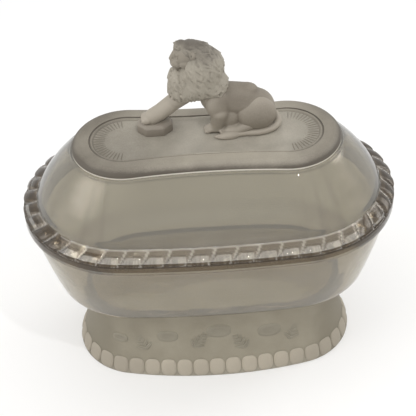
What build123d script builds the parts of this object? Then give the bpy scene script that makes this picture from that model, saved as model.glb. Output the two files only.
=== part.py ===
from build123d import *
from math import atan, atan2, cos, degrees, sin
import os

# Pressed-glass covered oval dish with a lion for a handle, in millimetres.
# The origin is on the table under the middle of the foot. X runs along the oval and Z is up.
# The lion looks towards -X. The side that faces a viewer at -Y has the lion's curled tail.

# Plans of the named levels: half length, half width and the radius of the two end arcs
foot_plan = (85.6, 43.8, 38.6)
neck_plan = (78.0, 36.0, 34.0)
belly_plan = (94.0, 48.5, 46.5)
bowl_top_plan = (105.7, 60.6, 58.6)
panel_plan = (76.0, 27.9, 30.4)

# Heights above the table
foot_height = 48.0
belly_height = 59.5
seat_height = 112.6
dome_height = 149.6

# Glass thicknesses
foot_wall = 5.0
foot_roof = 4.0
bowl_wall = 4.5
bowl_floor = 5.0
dome_wall = 4.0

# The hollow's floor is this much wider than the neck, and its walls turn upright within this rise
floor_growth = 4.0
hollow_rise = 7.0

# Lip, and the flange by which the cover centres itself in the bowl
lip_overhang = 2.3
lip_depth = 6.2
flange_clearance = 0.8
flange_depth = 4.5

# Rope edge round the cover
rope_height = 6.0
rope_shoulder = 1.4
rope_bulge = 1.3
rope_turns = 46
rope_groove_radius = 3.2
rope_groove_depth = 1.1
rope_slant = -34.0
rope_cut_reach = 3.0

# Row of beads round the foot
bead_count = 42
bead_width = 9.2
bead_height = 12.0
bead_corner = 2.6
bead_proud = 1.3
bead_rounding = 1.1
bead_root = 3.0

# Bulges of the walls outside a straight line between their ends
foot_waist = 2.4
belly_bulge = 2.2
bowl_bulge = 0.6
hollow_bulge = 1.0
dome_bulge = 2.6

# Top panel: rounded edge, flat border, groove and sunken field
panel_height = 4.8
panel_edge = 2.4
panel_border = 8.0
field_depth = 1.0

# The lion's place on the field
lion_offset = 7.0
block_place = (-28.5, 1.5)
block_size = (20.0, 14.0, 6.5)
block_corner = 5.0
block_bevel = 1.6


def blend(low, high, share):
    """A plan part of the way from one plan to another."""
    return tuple(a + (b - a) * share for a, b in zip(low, high))


def grown(plan, extra):
    """The parallel plan that lies outside a plan by an amount, or inside it by a negative one."""
    return tuple(size + extra for size in plan)


def corner(plan):
    """End-arc centre, its radius, and the angle by which an end arc passes the widest point."""
    half_length, half_width, end_radius = plan
    end_centre = half_length - end_radius
    return end_centre, end_radius, 2 * atan((half_width - end_radius) / end_centre)


def oval(plan, height):
    """A level face: two end arcs joined by two long sides that are tangent to them.

    Each long side is the cubic that stands for one gentle arc, also where the side is
    straight or hollow."""
    end_centre, radius, turn = corner(plan)
    tip = end_centre + radius
    x = end_centre + radius * sin(turn)
    y = radius * cos(turn)
    handle = 2 / 3 * x / cos(turn / 2) ** 2
    hx = x - handle * cos(turn)
    hy = y + handle * sin(turn)
    z = height
    edges = [
        ThreePointArc((x, -y, z), (tip, 0, z), (x, y, z)),
        Bezier((x, y, z), (hx, hy, z), (-hx, hy, z), (-x, y, z)),
        ThreePointArc((-x, y, z), (-tip, 0, z), (-x, -y, z)),
        Bezier((-x, -y, z), (-hx, -hy, z), (hx, -hy, z), (x, -y, z)),
    ]
    return Face(Wire(edges))


def bulged(low, high, bulge, share):
    """The plan part of the way up a wall that bulges outwards between its two ends."""
    return grown(blend(low, high, share), bulge * 4 * share * (1 - share))


def wall(low, low_height, high, high_height, bulge, steps=4):
    """The levels of a wall from one plan up to another."""
    shares = [step / steps for step in range(steps + 1)]
    rise = high_height - low_height
    return [(bulged(low, high, bulge, share), low_height + rise * share) for share in shares]


def stack(levels, extra=0.0):
    """A solid through a list of levels, all of them grown by the same amount."""
    return loft([oval(grown(plan, extra), height) for plan, height in levels])


def slab(plan, low, high):
    """An upright solid between two heights."""
    return extrude(oval(plan, low), high - low)


def outline_points(plan, count):
    """Evenly spaced points round a plan, each with the direction that points outwards there."""
    edge = oval(plan, 0).outer_wire()
    shares = [(index + 0.5) / count for index in range(count)]
    tangents = [edge % share for share in shares]
    return [(edge @ share, degrees(atan2(-way.X, way.Y))) for share, way in zip(shares, tangents)]


def fused(pieces):
    """The union of a list of pieces."""
    whole = pieces[0]
    for piece in pieces[1:]:
        whole = whole + piece
    return whole


def limb(*joints):
    """A leg or tail that tapers from joint to joint, with a ball at each joint."""
    pieces = [Pos(*place) * Sphere(radius) for place, radius in joints]
    for (start, thick), (end, thin) in zip(joints, joints[1:]):
        way = Vector(*end) - Vector(*start)
        half = Polyline((0, 0, 0), (thick, 0, 0), (thin, 0, way.length), (0, 0, way.length), (0, 0, 0))
        stretch = revolve(make_face(half), Axis.Z)
        pieces.append(Plane(origin=start, z_dir=way) * stretch)
    return fused(pieces)


def above_height(shape, height):
    """The part of a shape that stands above a height."""
    return split(shape, Plane.XY.offset(height), keep=Keep.TOP)


def on_field(shape):
    """A lion piece cut level with the field and set in its place on it."""
    return lion_frame * above_height(shape, 0)


# Levels of the outside of the foot and of the two sides of the bowl
lip_underside = seat_height - lip_depth
foot_levels = wall(foot_plan, 0, neck_plan, foot_height, -foot_waist)
belly_levels = wall(neck_plan, foot_height, belly_plan, belly_height, belly_bulge, 3)
side_levels = wall(belly_plan, belly_height, bowl_top_plan, lip_underside, bowl_bulge, 3)
lip_plan = grown(bowl_top_plan, lip_overhang)
hollow_floor = foot_height + bowl_floor
hollow_turn = hollow_floor + hollow_rise
floor_plan = grown(neck_plan, floor_growth)
hollow_belly_plan = grown(belly_plan, -bowl_wall)
hollow_top_plan = grown(bowl_top_plan, -bowl_wall)

# The cover's wall stands just inside the top of the bowl, where the hollow is narrowest
flange_bottom = seat_height - flange_depth
flange_share = (flange_bottom - hollow_turn) / (seat_height - hollow_turn)
flange_seat_plan = bulged(hollow_belly_plan, hollow_top_plan, bowl_bulge, flange_share)
dome_foot_plan = grown(flange_seat_plan, -flange_clearance)
rope_top = seat_height + rope_height
dome_levels = wall(dome_foot_plan, rope_top, panel_plan, dome_height, dome_bulge, 5)

# The lion is modelled round an origin on the sunken field of the top panel
field_height = dome_height + panel_height - field_depth
lion_frame = Pos(0, lion_offset, field_height)


def make_foot_collar():
    """The frosted foot: a hollow skirt that is open below, with a ring to stand on."""
    roof_share = 1 - foot_roof / foot_height
    roof_plan = bulged(foot_plan, neck_plan, -foot_waist, roof_share)
    hollow = wall(foot_plan, 0, roof_plan, foot_height - foot_roof, -foot_waist * roof_share ** 2)
    return stack(foot_levels) - stack(hollow, -foot_wall)


def make_foot_beads():
    """Rounded pads side by side round the lower edge of the foot, leaning with its wall."""
    top_plan = bulged(foot_plan, neck_plan, -foot_waist, bead_height / foot_height)
    lean = degrees(atan2(foot_plan[0] - top_plan[0], bead_height))
    pad = Box(2 * (bead_proud + bead_root), bead_width, bead_height)
    pad = fillet(pad.edges().filter_by(Axis.X), bead_corner)
    pad = fillet(pad.faces().sort_by(Axis.X)[-1].edges(), bead_rounding)
    pad = Rot(0, -lean, 0) * Pos(-bead_root, 0, bead_height / 2) * pad
    places = outline_points(foot_plan, bead_count)
    pads = [Pos(*point) * Rot(0, 0, outward) * pad for point, outward in places]
    return above_height(fused(pads), 0) - stack(foot_levels)


def make_bowl():
    """The clear bowl, with a rounded underside, a hollow and an overhanging lip."""
    body = stack(belly_levels) + stack(side_levels)
    body += slab(lip_plan, lip_underside, seat_height)
    corner_levels = wall(floor_plan, hollow_floor, hollow_belly_plan, hollow_turn, hollow_bulge, 2)
    side = wall(hollow_belly_plan, hollow_turn, hollow_top_plan, seat_height, bowl_bulge, 3)
    return body - stack(corner_levels) - stack(side)


def make_lid_dome():
    """The clear cover wall: its lower edge is the flange, and the top panel closes it."""
    body = slab(dome_foot_plan, flange_bottom, rope_top) + stack(dome_levels)
    body -= slab(grown(dome_foot_plan, -dome_wall), flange_bottom, rope_top)
    return body - stack(dome_levels, -dome_wall)


def make_rope_rim():
    """The rope edge: a sloping ring with slanted hollows cut across it at an even pitch."""
    rope_width = lip_plan[0] - dome_foot_plan[0]
    shoulder_height = seat_height + rope_shoulder
    ring = slab(lip_plan, seat_height, shoulder_height)
    ring += stack(wall(lip_plan, shoulder_height, dome_foot_plan, rope_top, rope_bulge))
    ring -= slab(dome_foot_plan, seat_height, rope_top)
    middle = grown(dome_foot_plan, rope_width / 2)
    slope = degrees(atan2(rope_height - rope_shoulder, rope_width))
    middle_height = seat_height + (rope_height + rope_shoulder) / 2 + rope_bulge
    lift = middle_height + rope_groove_radius - rope_groove_depth
    cutter = Cylinder(rope_groove_radius, rope_cut_reach * rope_width, rotation=(0, 90, 0))
    cutters = []
    for point, outward in outline_points(middle, rope_turns):
        turned = Rot(0, 0, outward) * Rot(0, slope, 0) * Rot(0, 0, rope_slant)
        cutters.append(Pos(point.X, point.Y, lift) * turned * cutter)
    return ring - cutters


def make_top_panel():
    """The frosted panel: rounded edge, flat border, and a field sunk inside a groove."""
    top = dome_height + panel_height
    plate = slab(panel_plan, dome_height, top)
    plate = fillet(plate.faces().sort_by(Axis.Z)[-1].edges(), panel_edge)
    field_plan = grown(panel_plan, -panel_edge - panel_border)
    return plate - slab(field_plan, top - field_depth, top)


def make_lion_body():
    """Trunk, haunches and the four legs of the crouching lion."""
    trunk = limb(((6, 1.2, 20.4), 8.8), ((20, 0.9, 19), 9.1), ((28.5, 0.8, 12), 11.2))
    far_foreleg = limb(
        ((-7, 4, 22), 7.0), ((-16.3, 3.4, 15.8), 5.8), ((-24.6, 2.3, 10.9), 4.9), ((-29.8, 1.1, 9.3), 4.3),
        ((-32.9, 1.0, 8.2), 3.5))
    near_foreleg = limb(
        ((8, -3.4, 16), 6.8), ((7, -3.8, 8), 4.4), ((6.4, -3.6, 3.6), 3.8), ((1.4, -3.5, 2.5), 2.7))
    thigh = limb(((24.6, -2.6, 11.3), 8.5), ((32, -2.3, 10.8), 8.3))
    near_hind_foot = limb(((23, -5.8, 6), 4.2), ((17.4, -7.4, 3.3), 3.0), ((9.6, -7.5, 2.2), 2.4))
    return on_field(fused([trunk, far_foreleg, near_foreleg, thigh, near_hind_foot]))


def make_lion_mane():
    """Head with its muzzle and forelock, and the mane down the chest and shoulders."""
    mane = limb(
        ((-11.3, 1.3, 28.3), 9.0), ((-0.5, 0.9, 33), 11.2), ((-0.4, 1.1, 41.5), 12.3), ((-2, 1.4, 47.6), 9.2))
    shoulder_mane = limb(((-0.6, 1.0, 33.2), 8.0), ((5.2, 0.8, 30), 8.6))
    muzzle = limb(((-8.6, 1.2, 49.2), 7.2), ((-13.2, 1.3, 45.4), 5.0), ((-13.9, 1.1, 42), 2.8))
    forelock = limb(((-9, 1.0, 51), 6.0), ((-13.5, 1.6, 55.2), 2.7))
    return on_field(fused([mane, shoulder_mane, muzzle, forelock]))


def make_lion_tail():
    """The tail, curled along the near side of the haunch to a tuft by the hind paw."""
    return on_field(limb(
        ((36, 6, 5.5), 2.7), ((40.4, 3, 3.8), 2.5), ((40.8, -1.8, 2.4), 2.4), ((37, -6.4, 1.9), 2.3),
        ((29, -9, 1.7), 2.2), ((21.5, -8.8, 1.6), 2.1), ((15, -9.8, 1.6), 2.5), ((7.5, -10.6, 1.4), 1.9)))


def make_paw_block():
    """The faceted block under the forward paw."""
    width, depth, height = block_size
    block = Box(width, depth, height, align=(Align.CENTER, Align.CENTER, Align.MIN))
    block = chamfer(block.edges().filter_by(Axis.Z), block_corner)
    block = chamfer(block.faces().sort_by(Axis.Z)[-1].edges(), block_bevel)
    return lion_frame * Pos(block_place[0], block_place[1], 0) * block


def main():
    os.makedirs("parts", exist_ok=True)
    lion_body = make_lion_body()
    lion_mane = make_lion_mane() - lion_body
    lion_tail = make_lion_tail() - lion_body
    paw_block = make_paw_block() - lion_body
    nodes = {
        "foot_collar": make_foot_collar(),
        "foot_beads": make_foot_beads(),
        "bowl": make_bowl(),
        "lid_dome": make_lid_dome(),
        "rope_rim": make_rope_rim(),
        "top_panel": make_top_panel(),
        "lion_body": lion_body,
        "lion_mane": lion_mane,
        "lion_tail": lion_tail,
        "paw_block": paw_block,
    }
    for name, shape in nodes.items():
        export_step(shape, f"parts/{name}.step")
        print(name, len(shape.solids()), "solids,", round(shape.volume / 1000, 2), "cm3")


main()
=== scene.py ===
# %% [markdown]
# # A covered glass dish with a lion on its lid
# The real object is an old pressed-glass serving dish. It is an oval bowl on a frosted foot, and
# its domed cover ends in a frosted panel on which a lion crouches as the handle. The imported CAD
# model is loaded first as a fixed frame, in metres. Each piece below is then modelled in its place
# in that frame, stands for one CAD node, and rides on the body that moves it.

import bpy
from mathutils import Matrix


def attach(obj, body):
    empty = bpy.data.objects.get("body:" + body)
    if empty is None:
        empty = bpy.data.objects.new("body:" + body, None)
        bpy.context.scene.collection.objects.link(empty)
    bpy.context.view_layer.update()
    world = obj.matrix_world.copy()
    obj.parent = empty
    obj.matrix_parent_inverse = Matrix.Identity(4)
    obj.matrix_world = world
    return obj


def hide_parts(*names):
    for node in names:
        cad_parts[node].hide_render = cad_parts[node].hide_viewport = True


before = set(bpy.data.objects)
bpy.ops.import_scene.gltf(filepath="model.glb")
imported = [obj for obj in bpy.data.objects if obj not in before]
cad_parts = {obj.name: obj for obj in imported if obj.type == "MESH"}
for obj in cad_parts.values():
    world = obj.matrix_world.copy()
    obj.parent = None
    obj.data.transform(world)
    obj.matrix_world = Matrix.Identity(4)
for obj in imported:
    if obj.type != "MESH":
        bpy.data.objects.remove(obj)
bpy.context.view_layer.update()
print("nodes:", sorted(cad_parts))

# %% [markdown]
# ## Camera
# The photo looks down at the front of the dish at about 41 degrees, from 0.7 m away, with the left
# end a little lower. The camera's three axes are worked out from those angles, so that nothing is
# placed by eye.

# %% Camera
import bpy, math, random
from mathutils import Matrix, Vector
from mathutils.bvhtree import BVHTree

MM = 0.001
scene = bpy.context.scene
scene.view_settings.view_transform = "Standard"

down_angle = math.radians(41.08)
side_turn = math.radians(1.39)
roll = math.radians(-2.57)
aim = Vector((-0.9, 0, 99.3)) * MM
distance = 700 * MM

unturn = Matrix.Rotation(-side_turn, 3, "Z")
right = Vector((1, 0, 0))
up = Vector((0, math.sin(down_angle), math.cos(down_angle)))
back = Vector((0, -math.cos(down_angle), math.sin(down_angle)))
rolled_right = right * math.cos(roll) + up * math.sin(roll)
rolled_up = up * math.cos(roll) - right * math.sin(roll)
place = unturn @ (aim + back * distance)

bpy.ops.object.camera_add(location=place)
camera = bpy.context.object
axes = Matrix((unturn @ rolled_right, unturn @ rolled_up, unturn @ back)).transposed()
camera.matrix_world = Matrix.Translation(place) @ axes.to_4x4()
camera.data.sensor_width = 36
camera.data.lens = 102.4
camera.data.clip_start, camera.data.clip_end = 0.01, 20
scene.camera = camera
print("camera at", [round(v, 3) for v in place])

# %% [markdown]
# ## Floor, daylight and lamps
# The dish stands on a plain white ground. The world is white for the rays that show it, straight,
# by mirror or through glass, and a little dimmer and warmer as a light. A wide soft lamp at the
# upper left shapes the glass, a small one in front puts sparkles on the rope edge, and a fill
# light behind the right end opens the shadows. Each lamp fades towards its rim, so that no
# reflection is a hard disc.

# %% Modes and selection
def mode(name):
    """Goes into EDIT or OBJECT mode."""
    bpy.ops.object.mode_set(mode=name)


def fresh(*chosen):
    """Selects only the chosen pieces, because operators act on all that is selected."""
    if bpy.context.object and bpy.context.object.mode != "OBJECT":
        mode("OBJECT")
    bpy.ops.object.select_all(action="DESELECT")
    for piece in chosen:
        piece.select_set(True)
        bpy.context.view_layer.objects.active = chosen[0]


# %% Nodes by short calls
def empty_tree(owner):
    """Turns on the nodes of a world or a material, and clears them."""
    owner.use_nodes = True
    owner.node_tree.nodes.clear()
    return owner.node_tree


def add_node(tree, kind, **values):
    """A node of a kind, with its settings, and its inputs by their names."""
    node = tree.nodes.new("ShaderNode" + kind)
    for name, value in values.items():
        if name in node.bl_rna.properties:
            setattr(node, name, value)
        else:
            node.inputs[name.replace("_", " ")].default_value = value
    return node


def feed(tree, inputs, terms):
    """Gives inputs their terms in order: a socket is linked, a number or a colour is set."""
    for socket, term in zip(inputs, terms):
        if isinstance(term, bpy.types.NodeSocket):
            tree.links.new(term, socket)
        else:
            socket.default_value = term


def fed_node(tree, kind, *terms, **values):
    """The first output of a new node, whose inputs get the terms."""
    node = add_node(tree, kind, **values)
    feed(tree, node.inputs, terms)
    return node.outputs[0]


def maths(tree, operation, *terms):
    """A Math node whose terms are numbers or sockets."""
    return fed_node(tree, "Math", *terms, operation=operation)


def ramp(tree, value, low, high, to_low=0.0, to_high=1.0, **values):
    """A value carried from one range to another, held at both ends."""
    return fed_node(tree, "MapRange", value, low, high, to_low, to_high, **values)


def seen_ray(tree, open_air=1.0):
    """1 for a ray that shows the ground to the camera: straight, by mirror or through glass.

    A factor can lower it where the ground is seen through open air."""
    rays = add_node(tree, "LightPath").outputs
    open_ray = maths(tree, "MAXIMUM", rays["Is Camera Ray"], rays["Is Glossy Ray"])
    faded = maths(tree, "MULTIPLY", open_ray, open_air)
    return maths(tree, "MAXIMUM", faded, rays["Is Transmission Ray"])


# %% World
world = bpy.data.worlds.new("white room")
scene.world = world
tree = empty_tree(world)
lit = fed_node(tree, "Background", (1.0, 0.985, 0.96, 1), 0.95)
shown = fed_node(tree, "Background", (1, 1, 1, 1), 1.0)
sky = fed_node(tree, "MixShader", seen_ray(tree), lit, shown)
tree.links.new(sky, add_node(tree, "OutputWorld").inputs["Surface"])

# %% Floor
fresh()
bpy.ops.mesh.primitive_plane_add(size=12, location=(0, 0, 0))
floor = bpy.context.object
floor.name = "floor"
floor_paint = bpy.data.materials.new("white ground")
tree = empty_tree(floor_paint)
paper = fed_node(tree, "BsdfDiffuse", (0.9, 0.9, 0.9, 1))
white = fed_node(tree, "Emission", (1, 1, 1, 1), 1.0)
reach = add_node(tree, "VectorMath", operation="LENGTH")
tree.links.new(add_node(tree, "TexCoord").outputs["Object"], reach.inputs[0])
open_air = seen_ray(tree, ramp(tree, reach.outputs["Value"], 0.1, 0.45, 0.2, 1.0))
ground = fed_node(tree, "MixShader", open_air, paper, white)
tree.links.new(ground, add_node(tree, "OutputMaterial").inputs["Surface"])
floor.data.materials.append(floor_paint)

# %% Lamps
lamp_aim = Vector((0, 0, 0.1))
lamps = [
    ("window light", (-1.1, -0.35, 0.9), 1.5, 10.0),
    ("small lamp", (0.28, -0.55, 1.1), 0.05, 3.0),
    ("fill light", (0.95, 0.35, 0.8), 0.9, 5.0),
]
for name, spot, size, power in lamps:
    fresh()
    bpy.ops.object.light_add(type="AREA", location=spot)
    lamp = bpy.context.object
    lamp.name = name
    lamp.data.shape = "DISK"
    lamp.data.size = size
    lamp.data.energy = power
    lamp.rotation_euler = (lamp_aim - Vector(spot)).to_track_quat("-Z", "Y").to_euler()
    lamp.data.use_nodes = True
    tree = lamp.data.node_tree
    across = add_node(tree, "NewGeometry").outputs["Parametric"]
    middle = add_node(tree, "VectorMath", operation="DISTANCE")
    feed(tree, middle.inputs, (across, (0.5, 0.5, 0)))
    soft = ramp(
        tree, middle.outputs["Value"], 0.1, 0.5, 1.6, 0.0, interpolation_type="SMOOTHSTEP")
    tree.links.new(soft, tree.nodes["Emission"].inputs["Strength"])
print("lamps:", len(lamps))

# %% [markdown]
# ## Ovals
# Every level of the dish is an oval of four arcs: two round ends and two long sides that are
# nearly straight. No scaling turns a circle into it. So each shell starts as a circle primitive
# that is extruded once per level, like a tube, and then each ring is laid on its own oval.

# %% A point of an oval
def oval_spot(plan, turn):
    """A point in mm of an oval. Each quarter of the turn is one end arc or one long side."""
    half_length, half_width, radius = plan
    centre = half_length - radius
    lean = 2 * math.atan((half_width - radius) / centre)
    quarter, share = divmod((turn * 4 + 0.5) % 4, 1)
    if quarter % 2 == 0:
        angle = (2 * share - 1) * (math.pi / 2 - lean)
        x, y = centre + radius * math.cos(angle), radius * math.sin(angle)
    else:
        end_x, end_y = centre + radius * math.sin(lean), radius * math.cos(lean)
        handle = 2 / 3 * end_x / math.cos(lean / 2) ** 2
        near, far = (1 - share) ** 2 * (1 + 2 * share), share ** 2 * (3 - 2 * share)
        pull = 3 * share * (1 - share)
        x = end_x * (near - far) - handle * math.cos(lean) * pull * (1 - 2 * share)
        y = end_y + handle * math.sin(lean) * pull
    return (x, y) if quarter < 2 else (-x, -y)


def even_turn(plan, share):
    """The turn that is a share of the way round by length, from the start of the +X end arc."""
    half_length, half_width, radius = plan
    centre = half_length - radius
    lean = 2 * math.atan((half_width - radius) / centre)
    end = 2 * (math.pi / 2 - lean) * radius
    side = 2 * lean * radius + 2 * centre * (lean / math.sin(lean) if lean else 1)
    way = share % 1 * 2 * (end + side)
    half, way = divmod(way, end + side)
    quarter = way / end if way < end else 1 + (way - end) / side
    return (2 * half + quarter - 0.5) / 4


print("widest point:", oval_spot((108.0, 62.9, 60.9), 0.25))

# %% Levels of a wall
def grown(plan, extra):
    """An oval that runs parallel to a plan, so many mm outside it."""
    return tuple(size + extra for size in plan)


def part_way(low, high, share, bulge):
    """The plan at a share of the way up a wall, which bulges between its lowest and highest."""
    plan = tuple(a + (b - a) * share for a, b in zip(low, high))
    return grown(plan, bulge * 4 * share * (1 - share))


def wall(low, low_height, high, high_height, bulge, steps):
    """The levels of a wall from one plan up to another."""
    shares = [step / steps for step in range(steps + 1)]
    return [
        (part_way(low, high, share, bulge), low_height + (high_height - low_height) * share)
        for share in shares]


def tube(name, levels, count=320, spot=None):
    """A tube with one ring of vertices per level, each ring laid on its oval."""
    fresh()
    bpy.ops.mesh.primitive_circle_add(vertices=count, radius=1)
    piece = bpy.context.object
    piece.name = name
    mode("EDIT")
    for level in levels[1:]:
        bpy.ops.mesh.extrude_region_move(TRANSFORM_OT_translate={"value": (0, 0, 1)})
    mode("OBJECT")
    for vertex in piece.data.vertices:
        row, share = round(vertex.co.z), math.atan2(vertex.co.y, vertex.co.x) / math.tau % 1
        if spot:
            vertex.co = Vector(spot(row, share)) * MM
        else:
            plan, height = levels[row]
            vertex.co = Vector((*oval_spot(plan, share), height)) * MM
    return piece


def apply_modifier(piece, kind, **values):
    """Adds a modifier with its settings and applies it."""
    bpy.context.view_layer.objects.active = piece
    modifier = piece.modifiers.new(kind.lower(), kind)
    for name, value in values.items():
        setattr(modifier, name, value)
    bpy.ops.object.modifier_apply(modifier=modifier.name)


def finish_shell(piece, soft_edge=0.0, smooth=35):
    """Closes a tube: joins its ends where they meet, caps open ones, rounds and smooths it."""
    mode("EDIT")
    bpy.ops.mesh.select_all(action="SELECT")
    bpy.ops.mesh.remove_doubles(threshold=0.002 * MM)
    for end in (min, max):
        bpy.ops.mesh.select_all(action="DESELECT")
        bpy.ops.mesh.select_non_manifold()
        mode("OBJECT")
        open_ones = [vertex for vertex in piece.data.vertices if vertex.select]
        if open_ones:
            edge_height = end(vertex.co.z for vertex in open_ones)
            for vertex in open_ones:
                vertex.select = abs(vertex.co.z - edge_height) < 0.01 * MM
        mode("EDIT")
        if open_ones:
            bpy.ops.mesh.edge_face_add()
    bpy.ops.mesh.select_all(action="SELECT")
    bpy.ops.mesh.normals_make_consistent(inside=False)
    mode("OBJECT")
    if soft_edge:
        apply_modifier(
            piece, "BEVEL", width=soft_edge * MM, segments=3, limit_method="ANGLE",
            angle_limit=math.radians(30))
    bpy.ops.object.shade_smooth_by_angle(angle=math.radians(smooth))
    print(piece.name, len(piece.data.polygons), "faces")


def place_piece(piece, body, slot, *nodes):
    """Gives a piece its body and hides the CAD nodes that it stands for; the slot is not used."""
    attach(piece, body)
    if nodes:
        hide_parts(*nodes)


# %% [markdown]
# ## Bowl
# The bowl is clear and about 4.5 mm thick. Its wall leans out from a rounded underside to a lip
# that hangs over a little, then turns in over the lip and goes down inside to a flat floor. One
# tube follows that whole way from the underside to the floor, and each end gets a flat cap. A
# spare ring round each cap keeps its smooth shading flat, because a bent one would bend the view
# through it.

# %% Bowl
foot_top, bowl_floor, belly_height, inner_belly_height = 48.0, 53.0, 59.5, 60.0
lip_bottom, seat = 106.4, 112.6
neck = (78.0, 36.0, 34.0)
belly = (94.0, 48.5, 46.5)
bowl_top = (105.7, 60.6, 58.6)
lip = grown(bowl_top, 2.3)
bowl_wall = 4.5
inner_belly, inner_top = grown(belly, -bowl_wall), grown(bowl_top, -bowl_wall)
cap = grown(neck, -6.0)

outside = [(cap, foot_top)] + wall(neck, foot_top, belly, belly_height, 2.2, 8)
outside += wall(belly, belly_height, bowl_top, lip_bottom, 0.6, 12)[1:]
lip_rings = [(lip, height) for height in (lip_bottom, 107.3, 107.6, 108.7, 109.0, 111.6, seat)]
inside = [(cap, bowl_floor)]
inside += wall(grown(neck, 4.0), bowl_floor, inner_belly, inner_belly_height, 1.0, 6)
inside += wall(inner_belly, inner_belly_height, inner_top, seat, 0.6, 12)[1:]
bowl = tube("bowl_glass", outside + lip_rings + inside[::-1])
finish_shell(bowl, soft_edge=0.8)
place_piece(bowl, "dish", "clear_glass_bowl", "bowl")

# %% [markdown]
# ## Dark lines of the glass
# Where glass is seen edge on, as along the lip and round the ends, it turns dark and streaky. A
# plain white room gives a model less of that than a real room would. So a shade is painted on the
# finished mesh, one number per vertex, and the materials read it. It stays in place from every
# side.

# %% Shade
def held(value):
    """A value kept between 0 and 1."""
    return min(max(value, 0.0), 1.0)


def paint(piece, layer, values):
    """Keeps a number per vertex on a piece, in a named layer."""
    piece.data.attributes.new(layer, "FLOAT", "POINT").data.foreach_set("value", values)


def paint_shade(piece, shade_at):
    """Paints how much painted shade a piece gets at each spot in mm, or how much painted light
    below 0.

    Spots on the inner side of a wall can be told from those on its outer side."""
    shades = []
    for vertex in piece.data.vertices:
        outwards = vertex.normal.x * vertex.co.x + vertex.normal.y * vertex.co.y
        shades.append(shade_at(vertex.co / MM, outwards > 0.001))
    paint(piece, "shade", shades)


def end_streaks(spot, start):
    """Upright streaks round both ends of an oval, from a distance from its middle on."""
    angle = math.atan2(spot.y, abs(spot.x) - 45)
    streak = max(0.0, math.sin(19 * angle + 2.5 * math.sin(5 * angle))) ** 3
    return streak * held((abs(spot.x) - start) / 12)


def bowl_shade(spot, outside):
    """Painted shade along the lip and where the wall turns under, but for a painted highlight line
    low on the lip.
    """
    if not outside:
        return 0.0
    if spot.z < 62:
        return held((61.5 - spot.z) / 2.5) * (0.35 + 0.6 * held((abs(spot.x) - 50) / 25))
    if spot.z < 106.3:
        return 0.1 * held((-60 - spot.x) / 25) + 0.12 * end_streaks(spot, 60)
    return 0.8 if spot.z < 107.4 else 0.0 if spot.z < 108.8 else 1.0


paint_shade(bowl, bowl_shade)
print("shaded:", bowl.name)

# %% [markdown]
# ## Foot
# The foot is a frosted hollow skirt, waisted in the middle and flared to a ring that stands on the
# table. Acid has only reached its outside, so the roof that closes it under the bowl is clear, and
# is a slab of its own here. It ends a hair below the bowl, so that the two never share a plane.

# %% Foot
foot = (85.6, 43.8, 38.6)
foot_wall, waist = 5.0, -2.4
hair = 0.05  # a gap too thin to see
foot_outside = wall(foot, 0.0, neck, foot_top - hair, waist, 14)
foot_inside = [(grown(plan, -foot_wall), height) for plan, height in foot_outside]
skirt = tube("frosted_foot", foot_outside[::-1] + foot_inside + foot_outside[-1:])
finish_shell(skirt, soft_edge=0.5)
place_piece(skirt, "dish", "frosted_glass_foot", "foot_collar")
# Painted shade: the outer face of the foot darkens towards both ends.
paint_shade(skirt, lambda spot, outside: 0.7 * held((abs(spot.x) - 58) / 16) * outside)
roof_top = grown(foot_inside[-1][0], -hair)
roof_cap, roof_bottom = grown(roof_top, -6.0), 44.0
roof_levels = [(roof_cap, roof_bottom), (roof_top, roof_bottom), (roof_top, foot_top - hair)]
roof = tube("foot_roof", roof_levels + [(roof_cap, foot_top - hair)])
finish_shell(roof, soft_edge=0.3)
place_piece(roof, "dish", "clear_glass_bowl", "foot_collar")

# %% [markdown]
# ## Pads round the foot
# Forty-two soft pads stand side by side round the foot's lower edge, like a row of teeth. One pad
# is a ball pressed towards a box, which makes a pillow with a rounded top. The others are copies
# of it, turned to face outwards and leaned back with the wall.

# %% Places on the foot
def moved(x, y, z):
    """A shift in mm."""
    return Matrix.Translation((x * MM, y * MM, z * MM))


def turned(angle, axis):
    """A turn in degrees."""
    return Matrix.Rotation(math.radians(angle), 4, axis)


def facing_out(plan, turn):
    """The direction that points outwards at a point of an oval."""
    x1, y1 = oval_spot(plan, turn - 0.001)
    x2, y2 = oval_spot(plan, turn + 0.001)
    return math.atan2(x1 - x2, y2 - y1)


def on_foot(share, height):
    """A frame on the foot's wall: X points out of the wall, Y runs round it and Z runs up it."""
    rise, small = height / foot_top, 0.01
    lower, upper = (part_way(foot, neck, share_up, waist) for share_up in (rise, rise + small))
    turn = even_turn(lower, share)
    x, y = oval_spot(lower, turn)
    lean = math.atan((lower[0] - upper[0]) / (small * foot_top))
    facing = Matrix.Rotation(facing_out(lower, turn), 4, "Z")
    return moved(x, y, height) @ facing @ Matrix.Rotation(-lean, 4, "Y")


def copy_at(piece, place):
    """A copy of a piece at a place, with a mesh of its own."""
    copy = piece.copy()
    copy.data = piece.data.copy()
    copy.data.transform(place)
    scene.collection.objects.link(copy)
    return copy


def copied(piece, places, name):
    """Copies a piece into every place and joins the copies."""
    copies = [copy_at(piece, place) for place in places]
    fresh(*copies)
    bpy.data.objects.remove(piece)
    bpy.ops.object.join()
    whole = bpy.context.object
    whole.name = name
    print(name, len(copies), "copies,", len(whole.data.polygons), "faces")
    return whole


def pillow(half_sizes, softness):
    """A ball pressed towards a box: a softness of 1 leaves it round."""
    fresh()
    bpy.ops.mesh.primitive_uv_sphere_add(segments=32, ring_count=20, radius=1)
    piece = bpy.context.object
    for vertex in piece.data.vertices:
        vertex.co = [
            math.copysign(abs(value) ** softness, value) * size * MM
            for value, size in zip(vertex.co, half_sizes)]
    bpy.ops.object.shade_smooth()
    return piece


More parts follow.
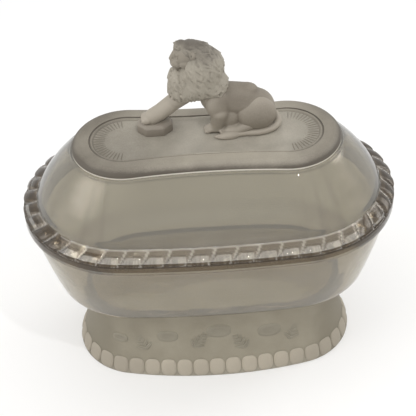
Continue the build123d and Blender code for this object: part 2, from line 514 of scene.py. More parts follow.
# %% Row of pads
pad_count = 42
pad = pillow((1.9, 4.95, 6.1), 0.72)
places = [
    on_foot((index + 0.5) / pad_count, 6.0) @ moved(-0.85, 0, 0) for index in range(pad_count)]
pads = copied(pad, places, "foot_pads")
for vertex in pads.data.vertices:
    vertex.co.z = max(vertex.co.z, 0)
place_piece(pads, "dish", "frosted_glass_foot", "foot_beads")
# Painted shade: the pads darken towards both ends of the foot.
paint_shade(pads, lambda spot, outside: 0.65 * held((abs(spot.x) - 35) / 35))

# %% [markdown]
# ## Leaves and bosses on the foot
# The foot's long sides have a shallow moulded pattern: sprays of leaves between flat oval bosses.
# One leaf is a ball drawn out to a point, with its midrib pressed in. The sprays are copies of it
# that fan out from a stem. The pattern is the same on both sides, and it stays under a millimetre
# deep.

# %% Leaves
def spray(share, height, lean, count, length):
    """Places for the leaves of one spray, from the wide bottom to the tip."""
    spots = []
    for step in range(count):
        along = step / count * length
        for side in (-1, 1):
            turn = lean + side * (58 - 26 * step / count)
            spot = on_foot(share, height) @ turned(lean, "X") @ moved(0, side * 0.9, along)
            spot @= turned(turn - lean, "X")
            size = 1.0 - 0.35 * step / count
            spot @= Matrix.Diagonal((1, size, size, 1))
            spots.append(spot @ moved(0, 0, 3.4))
    return spots


leaf_reach = 4.0
leaf = pillow((0.8, 1.5, leaf_reach), 1.0)
for vertex in leaf.data.vertices:
    tip = (vertex.co.z / MM + leaf_reach) / (2 * leaf_reach)
    vertex.co.y *= 1.15 - 0.7 * tip
    vertex.co.x -= 0.35 * MM * max(0, 1 - abs(vertex.co.y) / (0.45 * MM)) * (vertex.co.x > 0)
leaf_places = []
middle = next(step / 2000 for step in range(1000) if even_turn(foot, step / 2000) >= 0.25)
for side in (middle, middle + 0.5):
    for offset, height, lean, count in (
            (-0.108, 19, 24, 4), (-0.036, 21, -38, 5), (0.042, 18, 30, 4), (0.112, 20, -20, 4)):
        leaf_places += spray(side + offset, height, lean, count, 11.0)
leaves = copied(leaf, leaf_places, "foot_leaves")
place_piece(leaves, "dish", "frosted_glass_foot")

# %% Bosses
half_width, half_height = 8.0, 5.4
boss = pillow((1.0, half_width, half_height), 0.8)
for vertex in boss.data.vertices:
    reach = math.hypot(vertex.co.y / (half_width * MM), vertex.co.z / (half_height * MM))
    if vertex.co.x > 0:
        vertex.co.x *= 0.55 + 0.45 * held((reach - 0.4) / 0.3)
boss_places = []
for side in (middle, middle + 0.5):
    for offset, height, size in (
            (-0.075, 29, 0.8), (0.005, 32, 0.95), (0.083, 29, 0.9), (-0.15, 26, 0.6)):
        sunk = on_foot(side + offset, height) @ moved(-0.2, 0, 0)
        boss_places.append(sunk @ Matrix.Diagonal((1, size, size, 1)))
bosses = copied(boss, boss_places, "foot_bosses")
place_piece(bosses, "dish", "frosted_glass_foot")

# %% [markdown]
# ## Cover
# The cover's clear wall starts as an upright flange inside the bowl, passes the rope edge and then
# rises in a steep dome to the top panel, with a thin bead under it. The flange keeps 0.8 mm of
# room to the bowl's inner wall. The tube goes up outside and comes down inside, and its last ring
# meets its first.

# %% Dome
flange_bottom, flange_top, panel_bottom = 108.1, 118.6, 149.6
dome_wall, flange_room = 4.0, 0.8
rise = (flange_bottom - inner_belly_height) / (seat - inner_belly_height)
flange = grown(part_way(inner_belly, inner_top, rise, 0.6), -flange_room)
panel = (76.0, 27.9, 30.4)
dome_outside = [(flange, flange_bottom)]
dome_outside += wall(flange, flange_top, panel, panel_bottom - hair, 2.6, 16)
dome_inside = [(grown(plan, -dome_wall), height) for plan, height in dome_outside]
edge_bead = [(grown(panel, 1.4), 148.0), (grown(panel, 1.5), 148.5), (grown(panel, 1.2), 149.1)]
dome_outside = dome_outside[:-1] + edge_bead + dome_outside[-1:]
dome = tube("cover_dome", dome_outside + dome_inside[::-1] + dome_outside[:1])
finish_shell(dome, soft_edge=0.5)
place_piece(dome, "cover", "clear_glass_cover", "lid_dome")


def dome_shade(spot, outside):
    """Painted shade along the middle of the long sides, and in streaks that run up round the ends.
    """
    middle_shade = held((80 - abs(spot.x)) / 45) * held((spot.z - 120) / 10)
    return held(middle_shade + 0.75 * end_streaks(spot, 48))


paint_shade(dome, dome_shade)

# %% [markdown]
# ## Rope edge
# Round the cover runs a rope of 46 slanted lobes. Each is a glass pillow, parted from the next by
# a sharp valley. A plain ring is laid out with sixteen columns to a lobe, and the rows of its
# sloping face are pushed in along the valleys, as the plunger of the press would push them. Each
# lobe gathers light in a pale fan and turns dark above it. That is painted light and painted
# shade, a number per vertex like the shade, and random dark patches of painted shade gather round
# the two ends.

# %% Rope edge
lobes, columns, rows, valley, slant = 46, 16, 18, 1.6, 0.38
valley_line = 0.88
slope = wall(lip, seat + 1.4, flange, flange_top, 1.3, rows)
rope_levels = [(grown(lip, -0.3), seat + hair), (lip, seat + 0.5)] + slope
rope_levels += [(grown(flange, hair), flange_top), (grown(flange, hair), seat + hair)]
rope_levels += rope_levels[:1]
painted_lights = []


def rope_painted_light(across, climb):
    """Painted light and shade at a place of a lobe: a pale fan below a dark facet, between bright
    lines.
    """
    if across > valley_line or climb > 0.93:
        return 0.9
    if climb < 0.12:
        return 0.0
    if climb < 0.6:
        return 1.0 if across < 1.0 - 0.8 * (climb - 0.12) else 0.35
    return 0.25


def painted_dark_patch(x, lobe, patch):
    """Whether a patch of a lobe gets painted shade, which is common round the two ends of the
    oval.
    """
    return random.Random(lobe * 31 + patch).random() < (0.85 if abs(x) > 84 else 0.06)


def rope_spot(row, share):
    """A point of the rope: a point of the plain ring, pushed in where a valley runs."""
    plan, height = rope_levels[row]
    climb = held((row - 2) / rows)
    across = abs(2 * ((share * lobes - slant * climb + 0.5) % 1) - 1)
    depth = valley * across ** 3 * (1 - 0.6 * climb ** 4)
    if row == 0 or row > rows + 2:
        depth = 0
    outwards = 1 - 0.55 * min(1, climb * 3)
    turn = even_turn(lip, share)
    x, y = oval_spot(grown(plan, -depth * outwards), turn)
    painted_light = rope_painted_light(across, climb)
    # Random patches of painted shade, mostly round the two ends.
    if across < valley_line and painted_dark_patch(x, int(share * lobes - slant * climb + 0.5), row // 4):
        painted_light *= 0.1
    painted_lights.append(painted_light)
    return x, y, height - depth * (1 - outwards ** 2) ** 0.5 * (climb > 0)


rope = tube("rope_edge", rope_levels, lobes * columns, rope_spot)
paint(rope, "painted_light", painted_lights)
finish_shell(rope, smooth=60)
place_piece(rope, "cover", "clear_glass_rope", "rope_rim")

# %% [markdown]
# ## Top panel
# A frosted plate closes the dome. Its shoulder is rounded, a flat border runs round it, and inside
# a narrow groove the field lies a millimetre lower. The plate is one more tube, capped below and
# on the field. Fine ribs spread from both ends of the field like rays. One rib is a long low
# pillow, and the others are copies of it.

# %% Panel
panel_top, groove_floor, step_top, field_height = 154.4, 153.9, 154.25, 153.4
shoulder = []
for degree in (0, 12, 24, 36, 48, 60, 72, 82, 90):
    angle = math.radians(degree)
    inwards, drop = 5.4 * (1 - math.cos(angle)), 3.9 * (1 - math.sin(angle))
    shoulder.append((grown(panel, -inwards), panel_top - drop))
field = grown(panel, -11.5)
inner_rings = [(grown(field, extra), height) for extra, height in (
    (1.7, panel_top), (1.3, groove_floor), (0.9, groove_floor), (0.5, step_top), (0.0, step_top),
    (-1.0, field_height))]
plate = tube("frosted_panel", [(panel, panel_bottom)] + shoulder + inner_rings)
finish_shell(plate, smooth=50)
place_piece(plate, "cover", "frosted_glass_panel", "top_panel")


def end_shade(spot, outside):
    """Painted shade: both ends of the panel are darker, and the left one most."""
    return 0.5 * held((-12 - spot.x) / 40) + 0.4 * held((spot.x - 30) / 35)


paint_shade(plate, end_shade)

# %% Ribs of the field
rib_places = []
end_centre = field[0] - field[2]
rib_reach, rib_height = 15.2, 153.38
for side in (0, 180):
    for step in range(-11, 12):
        spot = turned(side, "Z") @ moved(end_centre, 0, 0) @ turned(step * 7.5, "Z")
        rib_places.append(spot @ moved(rib_reach, 0, rib_height))
ribs = copied(pillow((3.9, 0.32, 0.3), 1.0), rib_places, "field_ribs")
place_piece(ribs, "cover", "frosted_glass_panel")
# Painted shade: the ribs are darker than the field, and more so at its ends.
paint_shade(ribs, lambda spot, outside: 0.35 + end_shade(spot, outside))

# %% [markdown]
# ## Lion
# The lion is a small frosted sculpture. It crouches on the panel with its head to the left, one
# foreleg stretched on to a block and its tail curled along its side. Flesh like this is blocked
# out from overlapping balls and tapered bones. A voxel remesh then melts them into one skin, and a
# few rounds of smoothing leave the muscles soft. Sizes are in mm from the lion's own origin on the
# field.

# %% Clay in lumps
lion_spot = Vector((0, 7.0, field_height))
midline = 1.2


def ball(place, radii, turn=(0, 0, 0)):
    """An egg of clay: its middle, its three half sizes and its turn in degrees."""
    radii = (radii,) * 3 if isinstance(radii, (int, float)) else radii
    angles = [math.radians(angle) for angle in turn]
    bpy.ops.mesh.primitive_uv_sphere_add(
        segments=24, ring_count=14, radius=1, location=place, rotation=angles, scale=radii)
    return [bpy.context.object]


def bone(*joints):
    """Tapered stretches of clay from joint to joint, with a ball at each joint."""
    lumps = []
    for place, radius in joints:
        lumps += ball(place, radius)
    for (start, thick), (end, thin) in zip(joints, joints[1:]):
        way = Vector(end) - Vector(start)
        bpy.ops.mesh.primitive_cone_add(
            vertices=24, radius1=thick, radius2=thin, depth=way.length,
            location=(Vector(start) + Vector(end)) / 2,
            rotation=way.to_track_quat("Z", "Y").to_euler())
        lumps.append(bpy.context.object)
    return lumps


def melt(name, lumps, grain, smoothing):
    """Joins lumps of clay into one skin, smooths it and cuts it level with the field."""
    fresh(*lumps)
    bpy.ops.object.join()
    bpy.ops.object.transform_apply(location=True, rotation=True, scale=True)
    piece = bpy.context.object
    piece.name = name
    apply_modifier(piece, "REMESH", mode="VOXEL", voxel_size=grain)
    apply_modifier(piece, "SMOOTH", factor=0.5, iterations=smoothing)
    mode("EDIT")
    bpy.ops.mesh.select_all(action="SELECT")
    bpy.ops.mesh.bisect(plane_co=(0, 0, 0), plane_no=(0, 0, 1), use_fill=True, clear_inner=True)
    mode("OBJECT")
    return piece


def press(piece, place, radius, depth, way):
    """Pushes the skin round a place along a way, as a thumb would."""
    place, way = Vector(place), Vector(way).normalized()
    for vertex in piece.data.vertices:
        near = 1 - (vertex.co - place).length / radius
        if near > 0:
            vertex.co += way * depth * near * near * (3 - 2 * near)


def set_down(piece, node):
    """Moves a finished piece of the lion to its place on the cover."""
    piece.data.transform(Matrix.Translation(lion_spot * MM) @ Matrix.Scale(MM, 4))
    fresh(piece)
    bpy.ops.object.shade_smooth()
    place_piece(piece, "cover", "frosted_glass_lion", node)
    print(piece.name, len(piece.data.polygons), "faces")


# %% [markdown]
# ## Trunk and legs
# The trunk lies level with the hip a little higher than the rump. The near thigh is a flat egg
# that stands proud of the belly, so a crease shows round it. Toes are four small eggs on each paw.

# %% Trunk and legs
def toes(middle, facing, size):
    """Four toes side by side across the way that a paw points."""
    lumps = []
    for step in (-1.5, -0.5, 0.5, 1.5):
        across = Vector((0, step * size * 0.95, 0))
        ahead = Vector((facing * (0.5 - 0.2 * abs(step)) * size, 0, 0))
        lumps += ball(Vector(middle) + across + ahead, (size * 1.25, size * 0.62, size * 0.85))
    return lumps


fresh()
flesh = bone(
    ((6, midline, 20.4), 8.6), ((15, 1, 19.8), 8.8), ((22, 0.9, 18.6), 9.0),
    ((28.5, 0.8, 12), 11.0))
flesh += ball((23, 0.9, 24.2), (7, 5, 4))
flesh += ball((14, -1.6, 10), (7.5, 6.0, 8.5))
flesh += bone(
    ((-9, 4, 23.5), 6.0), ((-17.6, 3.6, 16.6), 4.9), ((-25, 2.2, 11.4), 4.8),
    ((-29.5, midline, 9.4), 4.6))
flesh += toes((-32.8, midline, 8.3), -1, 2.3)
flesh += ball((7, -5.2, 19.5), (6.6, 4.2, 8.6), (0, 12, 0))
flesh += bone(
    ((8, -4.8, 14), 5.2), ((7, -4.0, 8), 4.2), ((6.4, -3.6, 3.5), 3.6), ((3.6, -3.6, 2.8), 3.0))
flesh += toes((1.4, -3.6, 2.1), -1, 1.75)
flesh += bone(((26, 5.5, 10), 7.4), ((16, 7.6, 4.5), 3.8), ((10, 8.2, 2.4), 2.7))
flesh += toes((7.4, 8.2, 1.8), -1, 1.4)
flesh += bone(((24, -6.4, 5.0), 3.6), ((18, -7.6, 3.2), 2.8), ((12.6, -7.6, 2.6), 2.6))
flesh += toes((9.8, -7.6, 2.0), -1, 1.5)
body = melt("lion_body", flesh, 0.62, 5)
fresh()
thigh = melt("lion_thigh", ball((28.5, -4.4, 11.6), (11.4, 6.6, 10.8), (0, 6, 0)), 0.7, 3)
set_down(body, "lion_body")


def body_shade(spot, outside):
    """Painted shade makes the rump the darkest part of the body; painted light makes the foreleg
    palest.
    """
    rump = held((spot.z - 171) / 6) * held((spot.x - 2) / 10)
    return 0.55 * rump - 0.5 * held((8 - spot.x) / 22) - 0.3 * held((158 - spot.z) / 2)


paint_shade(body, body_shade)
set_down(thigh, "lion_body")

# %% [markdown]
# ## Mane
# The mane is a mass with some 340 curved locks on it. One lock is an egg drawn out to a point and
# bent. Copies of it are laid on the mass in staggered rows from the head down, each turned to the
# way that the hair falls there. Then all of it is melted together at a fine grain.

# %% One lock
fresh()
lock = ball((0, 0, 0), (1.3, 0.95, 3.9))[0]
bpy.ops.object.transform_apply(location=True, rotation=True, scale=True)
for vertex in lock.data.vertices:
    down = 0.5 - vertex.co.z / 7.8
    vertex.co.x *= 1.1 - 0.8 * down * down
    vertex.co.y *= 1.0 - 0.35 * down
    vertex.co.x += 0.9 * math.sin(down * 4.5)
    vertex.co.y += 0.9 * down * down

# %% Mass of the mane
fresh()
mass = bone(
    ((-11.3, 1.3, 28.3), 8.2), ((-0.5, 0.9, 33.0), 10.4), ((-0.4, 1.1, 41.5), 11.5),
    ((-2.0, 1.4, 47.6), 8.4))
mass += ball((-12, 1.3, 34), (7.2, 8.5, 8))
mass += ball((5.2, 0.9, 30), (7.8, 9.4, 7.0))
mass += ball((-5.5, 1.3, 52.5), (7.6, 7.0, 4.6), (0, 8, 0))
mass += ball((-12.0, 1.5, 55.4), (3.6, 4.0, 2.6), (0, -30, 0))
mane = melt("lion_mane", mass, 0.9, 6)
skin = BVHTree.FromObject(mane, bpy.context.evaluated_depsgraph_get())

# %% Rows of locks
chance = random.Random(7)
lowest, row_step, mane_height = 22.0, 2.4, 34
locks = [mane]
for row in range(15):
    height = lowest + row * row_step
    lean = (height - lowest) / mane_height
    axis = Vector((-3.5 + 1.5 * math.sin(lean * 3), midline, height))
    count = 27 if row < 12 else 16
    for step in range(count):
        angle = (step + 0.5 * (row % 2)) / count * math.tau
        out = Vector((math.cos(angle), math.sin(angle), 0.0))
        if 40 < height < 52.5 and out.x < -0.72:  # the face comes here
            continue
        spot, normal, _, _ = skin.ray_cast(axis + out * 40, -out)
        if spot is None:
            continue
        fall = Vector((0.10 + 0.35 * lean, 0, -1.0 + 0.5 * lean))
        fall = (fall - normal * fall.dot(normal)).normalized()
        side = normal.cross(fall).normalized()
        hang = Matrix((side, normal, -fall)).transposed()
        size = 0.85 + 0.25 * chance.random() + 0.12 * (1 - lean) - 0.25 * (row > 11)
        swing = Matrix.Rotation((chance.random() - 0.5) * 0.7, 3, normal)
        flip = Matrix.Diagonal((1 if (row + step) % 2 else -1, 1, 1))
        shape = swing @ hang @ flip * size
        root = Matrix.Translation(spot - normal * (0.2 + 0.3 * lean))
        locks.append(copy_at(lock, root @ shape.to_4x4()))
        if (row + step) % 2 == 0:
            locks[-1].data.flip_normals()
bpy.data.objects.remove(lock)
print("locks:", len(locks) - 1)
mane = melt("lion_mane", locks, 0.42, 1)
set_down(mane, "lion_mane")
# Painted shade: the crown of the mane is darker.
paint_shade(mane, lambda spot, outside: 0.7 * held((spot.z - 195) / 10))

# %% [markdown]
# ## Head
# The face looks out of the mane to the left and a little down. A skull, a muzzle, a brow and round
# ears are melted at a finer grain. Sockets, nostrils and the line of the mouth are then pressed
# in.

# %% Head
fresh()
clay = ball((-8.6, midline, 49.4), (7.4, 6.4, 7.2))
clay += ball((-13.0, midline, 45.4), (5.0, 4.2, 3.8), (0, -12, 0))
clay += ball((-16.6, midline, 47.3), (1.8, 1.9, 1.4), (0, 20, 0))
clay += ball((-13.9, midline, 41.8), (2.9, 2.5, 2.3))
clay += bone(((-12.4, midline, 53.2), 2.6), ((-16.2, midline, 48.6), 1.6))
for side in (-1, 1):
    clay += ball((-14.8, midline + side * 1.9, 44.9), (2.7, 2.0, 2.1))
    clay += ball((-12.8, midline + side * 3.0, 51.8), (2.4, 1.9, 1.2), (side * 20, -25, 0))
    clay += ball((-9.4, midline + side * 4.4, 46.4), (3.4, 2.2, 3.6))
    clay += ball((-5.4, midline + side * 6.4, 52.6), (1.6, 1.9, 2.3), (side * 24, 0, 0))
head = melt("lion_head", clay, 0.36, 3)
for side in (-1, 1):
    press(head, (-14.2, midline + side * 3.2, 49.8), 2.3, 1.4, (1, -0.5 * side, 0))
    press(head, (-18.2, midline + side * 1.0, 46.7), 1.0, 0.6, (1, 0, 0.2))
    press(head, (-16.6, midline + side * 2.2, 43.1), 1.5, 0.9, (1, 0, 0))
    press(head, (-6.8, midline + side * 7.3, 52.8), 1.7, 0.8, (1, -0.4 * side, 0))
press(head, (-17.6, midline, 43.6), 1.6, 1.0, (1, 0, 0))
fresh()
eyes = []
for side in (-1, 1):
    eyes += ball((-13.2, midline + side * 3.2, 49.8), (1.0, 1.05, 0.85))
eyes = melt("lion_eyes", eyes, 0.2, 1)
set_down(head, "lion_mane")
set_down(eyes, "lion_mane")

# %% [markdown]
# ## Tail
# The tail comes round the rump and lies along the near side. It is drawn as a row of balls along a
# smooth line, which thins and then swells into a tuft of a few locks.

# %% Tail
tail_line = [(36, 6, 6), (40.4, 3, 3.8), (40.8, -1.8, 2.4), (37, -6.4, 1.9), (29, -9.0, 1.7),
             (21.5, -8.8, 1.6), (15, -9.8, 1.5), (9, -10.5, 1.4)]


def along(points, share):
    """A point of the smooth line through some points."""
    reach = share * (len(points) - 1)
    index = min(int(reach), len(points) - 2)
    t = reach - index
    near = [Vector(points[min(max(index + k, 0), len(points) - 1)]) for k in (-1, 0, 1, 2)]
    return 0.5 * (2 * near[1] + (near[2] - near[0]) * t
                  + (2 * near[0] - 5 * near[1] + 4 * near[2] - near[3]) * t ** 2
                  + (3 * near[1] - near[0] - 3 * near[2] + near[3]) * t ** 3)


fresh()
beads = []
bead_count, tuft_start = 60, 0.8
for step in range(bead_count):
    share = step / (bead_count - 1)
    swell = math.sin((share - tuft_start) / 0.2 * math.pi) if share > tuft_start else 0
    beads += ball(along(tail_line, share), 2.3 - 0.6 * share + swell)
for step in (-1, 0, 1):
    tuft = (8.0, -10.6 + step * 1.1, 1.8 if step == 0 else 1.4)
    beads += ball(tuft, (3.6, 0.9, 1.1), (0, 4, step * 14))
tail = melt("lion_tail", beads, 0.45, 3)
set_down(tail, "lion_tail")
# Painted light: the whole tail is paler.
paint_shade(tail, lambda spot, outside: -0.4)

# %% [markdown]
# ## Block
# The stretched paw rests on a low block with cut corners and a sloping edge round its top. A cube
# is brought to size, its upright edges are cut off and then the top edges.

# %% Block
fresh()
bpy.ops.mesh.primitive_cube_add(size=1)
block = bpy.context.object
block.name = "paw_block"
mode("EDIT")
bpy.ops.transform.resize(value=(20, 14, 6.5))
bpy.ops.transform.translate(value=(-28.5, 1.5, 3.25))
mode("OBJECT")


def cut_edges(piece, width, wanted):
    """Cuts off the edges whose two ends pass a test."""
    mode("EDIT")
    bpy.ops.mesh.select_mode(type="EDGE")
    bpy.ops.mesh.select_all(action="DESELECT")
    mode("OBJECT")
    for edge in piece.data.edges:
        ends = [piece.data.vertices[index].co for index in edge.vertices]
        edge.select = wanted(*ends)
    mode("EDIT")
    bpy.ops.mesh.bevel(offset=width, segments=1)
    mode("OBJECT")


cut_edges(block, 5, lambda a, b: abs(a.z - b.z) > 1)
cut_edges(block, 1.6, lambda a, b: min(a.z, b.z) > 6.4)
apply_modifier(block, "BEVEL", width=0.35, segments=2, limit_method="ANGLE")
set_down(block, "paw_block")
bpy.ops.object.shade_smooth_by_angle(angle=math.radians(30))

# %% [markdown]
# ## Two finishes of one glass
# All of the dish is the same warm grey glass. Where it is clear, the press and the fire polish
# have left slow waves in it, so reflections wander. Where acid has frosted it, it is a pale matt
# skin that light still sinks into: fine grain, cloudy patches and paler rubbed edges. Its colour
# also
# holds painted light and shade: faces that look up are paler, steep ones darker or paler, hollows
# and corners darker, and so is wherever a shade is painted. Each of the two effects is a node
# group with its own inputs, used by several materials.

# %% Groups
def new_group(name, inputs, outputs):
    """A node group with named sockets. Each is given as a name, a kind and a value."""
    group = bpy.data.node_groups.new(name, "ShaderNodeTree")
    sockets = group.interface
    for label, kind, value in inputs:
        socket = sockets.new_socket(name=label, in_out="INPUT", socket_type="NodeSocket" + kind)
        if value is not None:
            socket.default_value = value
    for label, kind in outputs:
        sockets.new_socket(name=label, in_out="OUTPUT", socket_type="NodeSocket" + kind)
    return group, group.nodes.new("NodeGroupInput"), group.nodes.new("NodeGroupOutput")


def noise(tree, vector, scale, detail):
    """Cloudy noise. A scale that is a socket comes from outside the group."""
    node = add_node(tree, "TexNoise", Detail=detail)
    feed(tree, [node.inputs["Vector"], node.inputs["Scale"]], (vector, scale))
    return node.outputs["Fac"]


def streaks(tree, vector, scale):
    """Noise that is drawn out along the axes with a small scale."""
    drawn_out = add_node(tree, "Mapping", Scale=scale)
    tree.links.new(vector, drawn_out.inputs["Vector"])
    return noise(tree, drawn_out.outputs["Vector"], 1.0, 3.0)


def blend_colour(tree, factor, first, second):
    """Goes by a factor from one colour to another."""
    node = add_node(tree, "Mix", data_type="RGBA")
    feed(tree, [node.inputs[0], node.inputs[6], node.inputs[7]], (factor, first, second))
    return node.outputs[2]


# %% Waves of pressed glass
waves, given, result = new_group(
    "pressed waves",
    [("Vector", "Vector", None), ("Waves", "Float", 45.0), ("Flow Lines", "Float", 0.06)],
    [("Height", "Float"), ("Cloud", "Float")])
space = given.outputs["Vector"]
slow = noise(waves, space, given.outputs["Waves"], 1.0)
upright = streaks(waves, space, (260, 260, 30))
height = maths(waves, "MULTIPLY_ADD", upright, given.outputs["Flow Lines"], slow)
lying = streaks(waves, space, (16, 80, 240))
cloud = ramp(waves, maths(waves, "ADD", slow, lying), 0.8, 1.2)
feed(waves, result.inputs, (height, cloud))

# %% Skin of frosted glass
frost, given, result = new_group(
    "frosted skin",
    [("Vector", "Vector", None), ("Pale", "Color", (0.4, 0.36, 0.3, 1)),
     ("Deep", "Color", (0.22, 0.19, 0.15, 1)), ("Grain", "Float", 2200.0), ("Wear and Corner Shade", "Float", 0.5),
     ("Side Shade", "Float", 0.0), ("Shade", "Float", 0.0)],
    [("Color", "Color"), ("Roughness", "Float"), ("Height", "Float")])
space = given.outputs["Vector"]
cloud = noise(frost, space, 55.0, 4.0)
grain = noise(frost, space, given.outputs["Grain"], 3.0)
shape = add_node(frost, "NewGeometry")
facing = add_node(frost, "SeparateXYZ")
frost.links.new(shape.outputs["Normal"], facing.inputs[0])
# Painted light: faces that look up are paler than the rest.
lit_side = ramp(frost, facing.outputs["Z"], -0.2, 1.0, 0.25, 0.75)
# Paler convex edges are wear; darker hollows and corners are painted shade.
corner = ramp(frost, shape.outputs["Pointiness"], 0.44, 0.56, -0.5, 0.5)
worn_and_shaded = maths(frost, "MULTIPLY", corner, given.outputs["Wear and Corner Shade"])
mixed = maths(frost, "ADD", lit_side, worn_and_shaded)
# Painted shade on steep faces, or painted light where the Side Shade is below 0.
steep = ramp(frost, facing.outputs["Z"], 0.55, 0.97, -1.0, 0.0)
mixed = maths(frost, "MULTIPLY_ADD", steep, given.outputs["Side Shade"], mixed)
# The per-vertex painted shade, or painted light where it is below 0.
mixed = maths(frost, "SUBTRACT", mixed, given.outputs["Shade"])
mixed = maths(frost, "MULTIPLY_ADD", ramp(frost, cloud, 0.3, 0.7, -0.5, 0.5), 0.3, mixed)
mixed = maths(frost, "MULTIPLY_ADD", ramp(frost, grain, 0.3, 0.7, -0.5, 0.5), 0.22, mixed)
kept_in = ramp(frost, mixed, 0.0, 1.0)
colour = blend_colour(frost, kept_in, given.outputs["Deep"], given.outputs["Pale"])
feed(frost, result.inputs, (colour, ramp(frost, grain, 0.3, 0.7, 0.52, 0.72), grain))
print("groups:", [group.name for group in bpy.data.node_groups])

# %% [markdown]
# ## Materials
# Each material reads Object coordinates. As every piece is at the origin, all of them share one
# space, and the clouds run on from piece to piece as in one moulding. Clear glass is a glass
# shader with an absorbing volume in it, so that light fades with the thickness it crosses. There a
# shadow ray goes straight through with the glass's tint, so that what is inside the dish is lit.
# The inner side of the foot is painted light: it is pale and glows a little, for the light that
# seeps through frosted glass from all round.

# %% Start of a material
def start(name, clear):
    """A new material of glass, and how clear it is, from 0 to 1."""
    made = bpy.data.materials.new(name)
    tree = empty_tree(made)
    space = add_node(tree, "TexCoord").outputs["Object"]
    shader = add_node(tree, "BsdfPrincipled", IOR=1.5, Transmission_Weight=clear)
    end = add_node(tree, "OutputMaterial")
    return made, tree, space, shader, end


def painted(tree, layer):
    """The numbers of a layer that was painted on the piece."""
    return add_node(tree, "Attribute", attribute_name=layer).outputs["Fac"]


def relief(tree, shader, height, strength, depth):
    """A bump by a height, with its strength and its depth in mm."""
    bump = add_node(tree, "Bump", Strength=strength, Distance=depth * MM)
    tree.links.new(height, bump.inputs["Height"])
    tree.links.new(bump.outputs["Normal"], shader.inputs["Normal"])


# %% Clear glass
body_tint = (0.62, 0.565, 0.42, 1)


def clear_glass(name, clear, tint, deeper, shade_colour, wave_size, wave_depth, density,
                uses_painted_light=False, dull_lines=False):
    """Glass from a deeper colour to its tint, over slow clouds or by the painted light and shade.

    It has a colour of its own for the painted shade, where the shade is painted."""
    made, tree, space, shader, end = start(name, clear)
    shader.inputs["Specular Tint"].default_value = (1.0, 0.92, 0.82, 1)
    wavy = add_node(tree, "Group", node_tree=waves)
    feed(tree, wavy.inputs, (space, wave_size))
    gloss = shader.inputs["Specular IOR Level"]
    factor = wavy.outputs["Cloud"]
    if uses_painted_light:
        factor = painted(tree, "painted_light")
        tree.links.new(ramp(tree, factor, 0.0, 1.0, 0.12, 0.5), gloss)
    colour = blend_colour(tree, factor, deeper, tint)
    if shade_colour:
        shade = painted(tree, "shade")
        colour = blend_colour(tree, shade, colour, shade_colour)
        if dull_lines:
            tree.links.new(ramp(tree, shade, 0.0, 0.7, 0.5, 0.1), gloss)
    tree.links.new(colour, shader.inputs["Base Color"])
    rough = ramp(tree, wavy.outputs["Cloud"], 0.0, 1.0, 0.02, 0.0)
    tree.links.new(rough, shader.inputs["Roughness"])
    relief(tree, shader, wavy.outputs["Height"], 0.5, wave_depth)
    shadow_ray = add_node(tree, "LightPath").outputs["Is Shadow Ray"]
    through = fed_node(tree, "BsdfTransparent", colour)
    surface = fed_node(tree, "MixShader", shadow_ray, shader.outputs[0], through)
    body = fed_node(tree, "VolumeAbsorption", body_tint, density)
    feed(tree, end.inputs, (surface, body))
    return made


# The third colour of each glass is the colour of its painted shade.
bowl_glass = clear_glass(
    "bowl glass", 0.88, (0.925, 0.91, 0.855, 1), (0.855, 0.835, 0.765, 1), (0.30, 0.24, 0.185, 1),
    wave_size=45.0, wave_depth=1.3, density=200.0, dull_lines=True)
dome_glass = clear_glass(
    "cover glass", 0.84, (0.81, 0.80, 0.755, 1), (0.71, 0.70, 0.65, 1), (0.635, 0.63, 0.59, 1),
    wave_size=38.0, wave_depth=0.5, density=400.0)
# The rope goes from a dark colour of painted shade to a pale one of painted light, by its number.
rope_glass = clear_glass(
    "rope glass", 0.82, (1.0, 0.98, 0.94, 1), (0.17, 0.13, 0.095, 1), None,
    wave_size=160.0, wave_depth=0.8, density=150.0, uses_painted_light=True)

# %% Frosted glass
def frosted_glass(name, pale, deep, grain=2200.0, wear_and_shade=0.5, grain_depth=0.05, side_shade=0.0):
    """Frosted glass from a deep colour, painted shade in its corners, to a pale one on its worn
    edges.
    """
    made, tree, space, shader, end = start(name, 0.18)
    skin = add_node(tree, "Group", node_tree=frost)
    shade = painted(tree, "shade")
    feed(tree, skin.inputs, (space, pale, deep, grain, wear_and_shade, side_shade, shade))
    tree.links.new(skin.outputs["Color"], shader.inputs["Base Color"])
    tree.links.new(skin.outputs["Roughness"], shader.inputs["Roughness"])
    relief(tree, shader, skin.outputs["Height"], 0.4, grain_depth)
    tree.links.new(shader.outputs[0], end.inputs["Surface"])
    return made


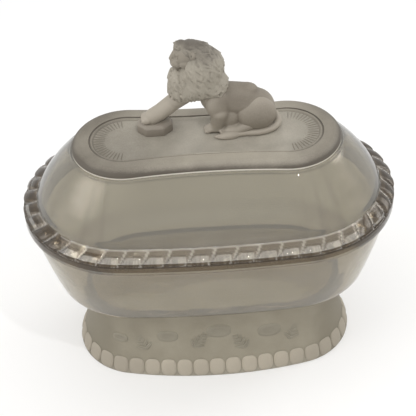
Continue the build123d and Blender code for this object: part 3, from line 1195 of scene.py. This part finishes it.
foot_frost = frosted_glass("foot frost", (0.36, 0.33, 0.26, 1), (0.19, 0.17, 0.127, 1))
# Painted light: the foot's inner face is pale and glows a little, for light seeping through.
foot_inner_glow = frosted_glass("foot inside glow", (0.86, 0.82, 0.74, 1), (0.74, 0.70, 0.62, 1))
painted_glow = foot_inner_glow.node_tree.nodes["Principled BSDF"]
painted_glow.inputs["Emission Color"].default_value = (0.95, 0.86, 0.70, 1)
painted_glow.inputs["Emission Strength"].default_value = 0.35
pad_frost = frosted_glass("pad frost", (0.55, 0.495, 0.40, 1), (0.37, 0.33, 0.265, 1), wear_and_shade=0.4)
field_frost = frosted_glass(
    "field frost", (0.54, 0.505, 0.435, 1), (0.19, 0.17, 0.135, 1), 1600.0, grain_depth=0.25)
# Painted shade: a very deep colour and a side shade darken the panel's rounded shoulder.
border_frost = frosted_glass(
    "border frost", (0.41, 0.375, 0.31, 1), (0.10, 0.085, 0.065, 1), 1600.0, grain_depth=0.06,
    side_shade=0.45)
# Painted highlight: a pale band on the panel's lower edge, where the glass edge catches light.
edge_highlight = frosted_glass("painted edge highlight", (0.80, 0.76, 0.68, 1), (0.62, 0.58, 0.50, 1), 1600.0)
lion_frost = frosted_glass(
    "lion frost", (0.39, 0.35, 0.29, 1), (0.20, 0.172, 0.135, 1), 1500.0, 0.7)
# Painted light: a Side Shade below 0 makes steep faces of mane and face paler than their tops.
mane_frost = frosted_glass(
    "mane frost", (0.34, 0.31, 0.255, 1), (0.12, 0.105, 0.085, 1), 1500.0, 0.6, side_shade=-0.7)
face_frost = frosted_glass(
    "face frost", (0.27, 0.24, 0.195, 1), (0.10, 0.088, 0.07, 1), 1500.0, 0.6, side_shade=-0.5)
block_frost = frosted_glass(
    "block frost", (0.30, 0.265, 0.22, 1), (0.16, 0.138, 0.11, 1), 1500.0, 0.7)

# %% A finish for every piece
finishes = [
    (bowl_glass, (bowl, roof)), (dome_glass, (dome,)), (rope_glass, (rope,)),
    (foot_frost, (skirt, leaves, bosses)), (pad_frost, (pads,)), (field_frost, (plate, ribs)),
    (lion_frost, (body, thigh, tail)), (mane_frost, (mane,)), (face_frost, (head, eyes)),
    (block_frost, (block,))]
for finish, pieces in finishes:
    for piece in pieces:
        piece.data.materials.clear()
        piece.data.materials.append(finish)

# %% Inner side of the foot, border of the panel, and painted highlight on its lower edge
skirt.data.materials.append(foot_inner_glow)
for polygon in skirt.data.polygons:
    outwards = polygon.center.x * polygon.normal.x + polygon.center.y * polygon.normal.y
    polygon.material_index = 1 if outwards < 0 else 0
plate.data.materials.append(border_frost)
plate.data.materials.append(edge_highlight)
highlight_top = 150.7
for polygon in plate.data.polygons:
    centre = polygon.center / MM
    in_field = math.hypot(max(abs(centre.x) - end_centre, 0), centre.y) < field[1] + 0.3
    top_finish = 0 if in_field and centre.z > 153 else 1
    polygon.material_index = top_finish if centre.z > highlight_top else 2
print("materials:", len(bpy.data.materials))
